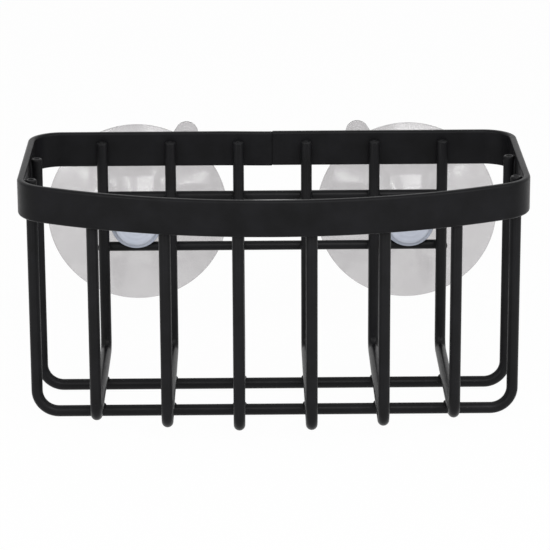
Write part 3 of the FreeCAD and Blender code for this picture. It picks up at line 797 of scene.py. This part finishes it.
@dataclass
class SuctionCup:
    """One clear cup: lip, dome, flare, shoulder, neck between the rails, head and tab.

    Its sizes are in millimetres, across from its own axis and up off the wall. The rings that
    the mould's turning leaves on the head are drawn coarser than real, so that they show.
    """

    body: Body
    node: str
    joint: str
    lean: float
    thin: bpy.types.Material
    thick: bpy.types.Material
    lip_radius: float = 43.5
    land: float = 1.8
    lip: float = 0.8
    lip_round: float = 0.3
    lip_ease: tuple[float, float] = (0.5, 0.14)
    hollow: float = 7.5
    foot: tuple[float, float] = (24.0, 6.0)
    flare_blend: float = 20.0
    flare_lead: float = 4.0
    shoulder: float = 13.0
    flare_top: float = 11.5
    shoulder_top: float = 14.3
    shoulder_round: float = 0.8
    neck: float = 9.8
    neck_round: float = 0.5
    thick_lap: float = 0.3
    head_base: float = 19.6
    head: float = 12.2
    flange: float = 1.8
    flange_top_round: float = 0.5
    flange_under_round: float = 0.6
    core: float = 10.4
    core_height: float = 2.2
    core_rise: float = 0.15
    core_round: float = 1.5
    core_foot: float = 0.9
    crown: float = 1.8
    ring_pitch: float = 2.3
    ring_depth: float = 0.12
    ring_start: float = 2.0
    ring_margin: float = 1.6
    gate: float = 1.3
    gate_depth: float = 0.35
    gate_slope: float = 0.3
    gate_drop: float = 0.02
    gate_rounds: tuple[float, float] = (0.2, 0.15)
    crown_steps: int = 60
    flare_steps: int = 12
    dome_steps: int = 44
    roof_steps: int = 60
    tab_width: float = 11.0
    tab_reach: float = 8.2
    tab_root: float = 1.2
    tab_lift: float = 0.3
    tab_thickness: float = 1.5
    ridge_starts: tuple[float, ...] = (2.0, 3.4)
    tab_side_steps: int = 6
    tab_round_steps: int = 36
    turn_steps: int = 192
    on_axis: float = 1e-6
    crease: float = 40.0
    axis: Vector = field(init=False)
    wall: float = field(init=False)

    def __post_init__(self) -> None:
        """Reads the cup's axis and the wall's place from the frame."""
        joint = next(item for item in frame["joints"] if item["name"] == self.joint)
        self.axis = Vector(joint["pos_m"])
        self.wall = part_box(self.node)[1][1]

    def place(self, x: float, z: float, off_wall: float) -> Vector:
        """Turns the cup's own millimetres into the frame's metres."""
        return Vector((self.axis.x + x * MM, self.wall - off_wall * MM, self.axis.z + z * MM))

    @staticmethod
    def arc(start: tuple[float, float], end: tuple[float, float], centre: tuple[float, float],
            steps: int) -> list[tuple[float, float]]:
        """Returns the points of an arc between two places, without its start.

        Args:
            start: where it starts, across and up.
            end: where it ends.
            centre: the middle of its circle.
            steps: segments in it.

        Returns:
            The points in order, the last at the end.
        """
        a = math.atan2(start[1] - centre[1], start[0] - centre[0])
        b = math.atan2(end[1] - centre[1], end[0] - centre[0])
        if b - a > math.pi:
            b -= 2 * math.pi
        if a - b > math.pi:
            b += 2 * math.pi
        radius = math.dist(start, centre)
        return [(centre[0] + radius * math.cos(a + (b - a) * i / steps),
                 centre[1] + radius * math.sin(a + (b - a) * i / steps))
                for i in range(1, steps + 1)]

    @staticmethod
    def soften(corners: list[tuple[float, float, float]],
               steps: int = 5) -> list[tuple[float, float]]:
        """Rounds a line's corners.

        Args:
            corners: across, up and the radius wanted there, in order.
            steps: segments in each round.

        Returns:
            The line with an arc in place of each corner that has a radius.
        """
        points = []
        for index, (x, y, radius) in enumerate(corners):
            if radius <= 0 or index in (0, len(corners) - 1):
                points.append((x, y))
                continue
            here = Vector((x, y))
            back = (Vector(corners[index - 1][:2]) - here).normalized()
            ahead = (Vector(corners[index + 1][:2]) - here).normalized()
            half = back.angle(ahead) / 2
            trim = radius / math.tan(half)
            centre = here + (back + ahead).normalized() * radius / math.sin(half)
            start, end = here + back * trim, here + ahead * trim
            points.append(tuple(start))
            points += SuctionCup.arc(tuple(start), tuple(end), tuple(centre), steps)
        return points

    @staticmethod
    def axis_centre(first: tuple[float, float],
                    second: tuple[float, float]) -> tuple[float, float]:
        """Returns the centre, on the cup's axis, of the arc through two places."""
        (x1, y1), (x2, y2) = first, second
        return 0.0, (x1 ** 2 + y1 ** 2 - x2 ** 2 - y2 ** 2) / (2 * (y1 - y2))

    def upper_corners(self) -> list[tuple[float, float, float]]:
        """Lists the gate mark, the ringed crown, the head, the neck and the shoulder.

        Returns:
            Each corner's radius, its height off the wall and the rounding wanted there.
        """
        flange_top = self.head_base + self.flange
        core_edge = flange_top + self.core_height
        crown_top = core_edge + self.crown
        gate_floor = crown_top - self.gate_depth
        edge = (self.core, core_edge)
        middle = self.axis_centre((0.0, crown_top), edge)
        inner_round, outer_round = self.gate_rounds
        corners = [(0.0, gate_floor, 0), (self.gate, gate_floor, inner_round),
                   (self.gate + self.gate_slope, crown_top - self.gate_drop, outer_round)]
        for x, y in self.arc((0.0, crown_top), edge, middle, self.crown_steps):
            if self.ring_start < x < self.core - self.ring_margin:
                ring = 0.5 + 0.5 * math.sin(math.tau * x / self.ring_pitch)
                corners.append((x, y - self.ring_depth * ring, 0))
        return corners + [
            (self.core, core_edge + self.core_rise, self.core_round),
            (self.core, flange_top, self.core_foot),
            (self.head, flange_top, self.flange_top_round),
            (self.head, self.head_base, self.flange_under_round),
            (self.neck, self.head_base, self.neck_round),
            (self.neck, self.shoulder_top, self.neck_round),
            (self.shoulder, self.shoulder_top, self.shoulder_round),
            (self.shoulder, self.flare_top, 0)]

    def profile(self) -> list[tuple[float, float]]:
        """Draws the half section from the crown round to the hollow.

        Returns:
            Each point's radius and its height off the wall.
        """
        lip_top, inner = (self.lip_radius, self.lip), (self.lip_radius - self.land, 0.0)
        roof = (0.0, self.hollow)
        dome_centre = self.axis_centre(lip_top, self.foot)
        top = (self.shoulder, self.flare_top)
        tangent = Vector((self.foot[1] - dome_centre[1], -self.foot[0])).normalized()
        beyond = Vector(self.foot) + tangent * self.flare_lead
        flare = self.soften([(*top, 0), (*self.foot, self.flare_blend), (*beyond, 0)],
                            self.flare_steps)
        dome = [point for point in self.arc(self.foot, lip_top, dome_centre, self.dome_steps)
                if point[0] > flare[-2][0]]
        in_from_lip, above_lip = self.lip_ease
        rim = self.soften([(self.lip_radius - in_from_lip, self.lip + above_lip, 0.0),
                           (*lip_top, self.lip_round), (self.lip_radius, 0.0, self.lip_round),
                           (*inner, 0.0)])
        hollow = self.arc(inner, roof, self.axis_centre(roof, inner), self.roof_steps)
        return self.soften(self.upper_corners()) + flare[1:-1] + dome[:-1] + rim + hollow

    def turn(self) -> bmesh.types.BMesh:
        """Turns the half section round the cup's axis, closed at both poles.

        Returns:
            The shape, in the frame's metres.
        """
        shape = bmesh.new()
        line = self.profile()
        rings = []
        for radius, height in line:
            if radius < self.on_axis:
                rings.append([shape.verts.new(self.place(0, 0, height))])
                continue
            rings.append([shape.verts.new(self.place(
                radius * math.cos(math.tau * i / self.turn_steps),
                radius * math.sin(math.tau * i / self.turn_steps), height))
                for i in range(self.turn_steps)])
        for ring, following in zip(rings, rings[1:]):
            for i in range(self.turn_steps):
                j = (i + 1) % self.turn_steps
                if len(ring) == 1:
                    shape.faces.new((ring[0], following[i], following[j]))
                elif len(following) == 1:
                    shape.faces.new((ring[i], following[0], ring[j]))
                else:
                    shape.faces.new((ring[i], following[i], following[j], ring[j]))
        bmesh.ops.recalc_face_normals(shape, faces=shape.faces)
        return shape

    def tab_outline(self, inset: float, height: float, shape: bmesh.types.BMesh) -> list[Any]:
        """Adds one loop of the tab, moved in from its outline, and returns its corners.

        Args:
            inset: how far in from the outline.
            height: off the wall.
            shape: the mesh that takes the loop.

        Returns:
            The loop's vertices.
        """
        radius = self.tab_width / 2 - inset
        bend = self.lip_radius + self.tab_reach - self.tab_width / 2
        root = self.lip_radius - self.tab_root + inset
        sides = [root + (bend - root) * i / self.tab_side_steps
                 for i in range(self.tab_side_steps)]
        angles = [math.pi * i / self.tab_round_steps for i in range(self.tab_round_steps + 1)]
        path = [(radius, reach) for reach in sides]
        path += [(radius * math.cos(t), bend + radius * math.sin(t)) for t in angles]
        path += [(-radius, reach) for reach in reversed(sides)]
        turned = Matrix.Rotation(-self.lean, 2)
        return [shape.verts.new(self.place(*(turned @ Vector(point)), height)) for point in path]

    def tab(self) -> bpy.types.Object:
        """Builds the pull tab: a raised border, a low panel and two grip ridges.

        Each step of its section is how far in from the outline and how high off the wall.

        Returns:
            The tab alone.
        """
        shape = bmesh.new()
        low, high = self.tab_lift, self.tab_lift + self.tab_thickness
        steps = [(0.45, low), (0.15, low + 0.06), (0.0, low + 0.3), (0.0, high - 0.35),
                 (0.12, high - 0.1), (0.4, high), (1.0, high), (1.25, high - 0.1),
                 (1.45, high - 0.42)]
        for start in self.ridge_starts:
            steps += [(start, high - 0.45), (start + 0.2, high - 0.2), (start + 0.45, high - 0.12),
                      (start + 0.7, high - 0.2), (start + 0.9, high - 0.45)]
        loops = [self.tab_outline(inset, height, shape) for inset, height in steps]
        for loop, following in zip(loops, loops[1:]):
            for i in range(len(loop)):
                j = (i + 1) % len(loop)
                shape.faces.new((loop[i], loop[j], following[j], following[i]))
        shape.faces.new(loops[0])
        shape.faces.new(loops[-1])
        bmesh.ops.recalc_face_normals(shape, faces=shape.faces)
        mesh = bpy.data.meshes.new("tab")
        shape.to_mesh(mesh)
        shape.free()
        return plain_object("tab", mesh)

    def build(self) -> None:
        """Builds the cup as one closed moulding, thin vinyl below its neck and thick above."""
        shape = self.turn()
        name = f"{self.body.value}_moulding"
        mesh = bpy.data.meshes.new(name)
        shape.to_mesh(mesh)
        shape.free()
        cup = plain_object(name, mesh)
        tab = self.tab()
        joined = cup.modifiers.new("tab", "BOOLEAN")
        joined.operation = "UNION"
        joined.solver = "EXACT"
        joined.object = tab
        settle(cup)
        bpy.data.objects.remove(tab)
        cup.data.materials.clear()
        cup.data.materials.append(self.thin)
        cup.data.materials.append(self.thick)
        for face in cup.data.polygons:
            off_wall = (self.wall - face.center.y) / MM
            face.material_index = int(off_wall > self.shoulder_top - self.thick_lap)
        shade(cup, self.crease)
        fit(cup, self.body, Slot.VINYL, self.node)


# ---------------------------------------------------------------- the studio


@dataclass
class Lamp:
    """One soft box: its place, where it aims, its size, its power and its turn about its aim."""

    name: str
    place: tuple[float, float, float]
    aim: tuple[float, float, float]
    size: tuple[float, float]
    power: float
    turn: float = 0.0

    def build(self) -> None:
        """Hangs the soft box."""
        data = bpy.data.lights.new(self.name, "AREA")
        data.shape = "RECTANGLE"
        data.size, data.size_y = self.size
        data.energy = self.power
        lamp = bpy.data.objects.new(self.name, data)
        bpy.context.scene.collection.objects.link(lamp)
        lamp.location = self.place
        aim = Vector(self.aim) - Vector(self.place)
        turned = aim.to_track_quat("-Z", "Y") @ Quaternion((0.0, 0.0, 1.0), self.turn)
        lamp.rotation_euler = turned.to_euler()


@dataclass
class Studio:
    """A pale floor, six soft boxes and the camera a little above the caddy."""

    floor_radius: float = 4.0
    floor_drop: float = 0.1 * MM
    floor_colour: str = "#FAFAFA"
    floor_glow: float = 0.97
    room_light: float = 0.45
    lamps: tuple[Lamp, ...] = (
        Lamp("front_box", (0.32, -1.15, 0.95), (0.0, 0.0, 0.05), (0.8, 0.7), 7.5),
        Lamp("narrow_strip", (-0.46, -1.19, 0.85), (0.0, 0.0, 0.05), (0.09, 0.8), 1.6),
        Lamp("left_strip", (-0.95, -1.0, 0.6), (0.0, 0.0, 0.06), (0.2, 0.9), 4.5),
        Lamp("right_strip", (1.1, -0.85, 0.6), (0.0, 0.0, 0.06), (0.25, 0.9), 4.5),
        Lamp("low_left_box", (-0.56, -1.15, 0.12), (0.0, 0.0, 0.08), (0.42, 0.09), 0.75, -0.5),
        Lamp("low_right_box", (0.56, -1.15, 0.12), (0.0, 0.0, 0.08), (0.42, 0.09), 0.75, 0.5),
    )
    height: float = math.radians(16.82)
    side: float = math.radians(-0.5)
    tilt: float = math.radians(-0.27)
    distance: float = 1.32765
    target: tuple[float, float, float] = (0.00057, 0.0005, 0.05925)
    lens: float = 188.5
    sensor: float = 36.0

    @staticmethod
    def seen_ray(tree: bpy.types.NodeTree) -> bpy.types.NodeSocket:
        """Tells the rays that see the room from those that only light things with it.

        Args:
            tree: the tree that asks.

        Returns:
            1 on a ray from the camera, a mirror or a clear wall, and 0 on a diffuse one.
        """
        path = add_node(tree, "ShaderNodeLightPath")
        first = add_node(tree, "ShaderNodeMath", {"operation": "MAXIMUM"}, {
            0: path.outputs["Is Camera Ray"], 1: path.outputs["Is Glossy Ray"]})
        both = add_node(tree, "ShaderNodeMath", {"operation": "MAXIMUM"}, {
            0: first.outputs[0], 1: path.outputs["Is Transmission Ray"]})
        return both.outputs[0]

    def build_floor(self) -> None:
        """Lays the floor, white to the eye but still a surface that takes the caddy's shadow."""
        mesh = bpy.data.meshes.new("floor")
        shape = bmesh.new()
        bmesh.ops.create_circle(shape, cap_ends=True, segments=96, radius=self.floor_radius)
        bmesh.ops.translate(shape, vec=(0, 0, -self.floor_drop), verts=shape.verts)
        shape.to_mesh(mesh)
        shape.free()
        material, tree = open_material("matt_paper_floor")
        paper = add_node(tree, "ShaderNodeBsdfDiffuse", inputs={
            "Color": linear(self.floor_colour)})
        glow = add_node(tree, "ShaderNodeEmission", inputs={"Strength": 1.0})
        share = add_node(tree, "ShaderNodeMath", {"operation": "MULTIPLY"}, {
            0: self.seen_ray(tree), 1: self.floor_glow})
        mixed = add_node(tree, "ShaderNodeMixShader", inputs={
            0: share.outputs[0], 1: paper.outputs[0], 2: glow.outputs[0]})
        add_node(tree, "ShaderNodeOutputMaterial", inputs={"Surface": mixed.outputs[0]})
        mesh.materials.append(material)
        plain_object("floor", mesh)

    def build_room(self) -> None:
        """Sets the room: white where it is seen, softer where it only lights the caddy."""
        world = bpy.data.worlds.new("room")
        bpy.context.scene.world = world
        world.use_nodes = True
        tree = world.node_tree
        tree.nodes.clear()
        level = add_node(tree, "ShaderNodeMapRange", inputs={
            "Value": self.seen_ray(tree), "To Min": self.room_light, "To Max": 1.0})
        back = add_node(tree, "ShaderNodeBackground", inputs={
            "Strength": level.outputs["Result"], "Color": (1.0, 1.0, 1.0, 1.0)})
        add_node(tree, "ShaderNodeOutputWorld", inputs={"Surface": back.outputs[0]})

    def build_camera(self) -> None:
        """Sets the camera on its ray from the target, turned a hair about its own axis."""
        data = bpy.data.cameras.new("camera")
        data.sensor_width = self.sensor
        data.lens = self.lens
        data.clip_start, data.clip_end = 0.05, 50.0
        camera = bpy.data.objects.new("camera", data)
        bpy.context.scene.collection.objects.link(camera)
        back = Vector((math.sin(self.side) * math.cos(self.height),
                       -math.cos(self.side) * math.cos(self.height), math.sin(self.height)))
        right = UP.cross(back).normalized()
        upward = back.cross(right)
        turned_right = right * math.cos(self.tilt) + upward * math.sin(self.tilt)
        turned_up = back.cross(turned_right)
        axes = Matrix((turned_right, turned_up, back)).transposed().to_4x4()
        camera.matrix_world = Matrix.Translation(Vector(self.target) + back * self.distance) @ axes
        bpy.context.scene.camera = camera

    def build(self) -> None:
        """Builds the whole studio and sets how its light becomes colour."""
        bpy.context.scene.view_settings.view_transform = "Standard"
        self.build_camera()
        self.build_floor()
        self.build_room()
        for lamp in self.lamps:
            lamp.build()
        LOG.info("studio: %d lamps", len(self.lamps))


def main() -> None:
    """Builds the studio, the basket and the two cups."""
    logging.basicConfig(level=logging.INFO, format="%(message)s")
    Studio().build()
    # Painted shade: the strip wears the wires' own coat, with its colour painted a hair darker so
    # that its broad flat faces render darker under these lamps.
    band_coat_with_painted_shade = PowderCoat("satin_black_powder_coat_on_strip", colour="#121213",
                           sheen_level=0.08).material()
    wire_coat = PowderCoat("satin_black_powder_coat_on_wire", sheen_level=0.11,
                           peel_width=1.1).material()
    weld_coat = PowderCoat("satin_black_powder_coat_on_welds", roughness=0.42, peel_width=0.9,
                           peel_depth=0.024).material()
    thin = SoftVinyl("clear_moulded_vinyl_thin", "#D0CECF", "#CAC8C9", 0.93).material()
    thick = SoftVinyl("clear_moulded_vinyl_thick", "#BFC5D3", "#B7BECD", 0.2).material()
    Rim(band_coat_with_painted_shade, weld_coat, StripTree()).build()
    Wires(wire_coat, WireTree()).build()
    Welds(weld_coat, BeadTree()).build()
    lean = math.radians(31.5)
    SuctionCup(Body.LEFT_CUP, "left_suction_cup", "left_cup_spin", lean, thin, thick).build()
    SuctionCup(Body.RIGHT_CUP, "right_suction_cup", "right_cup_spin", -lean, thin, thick).build()


if __name__ == "__main__":
    main()
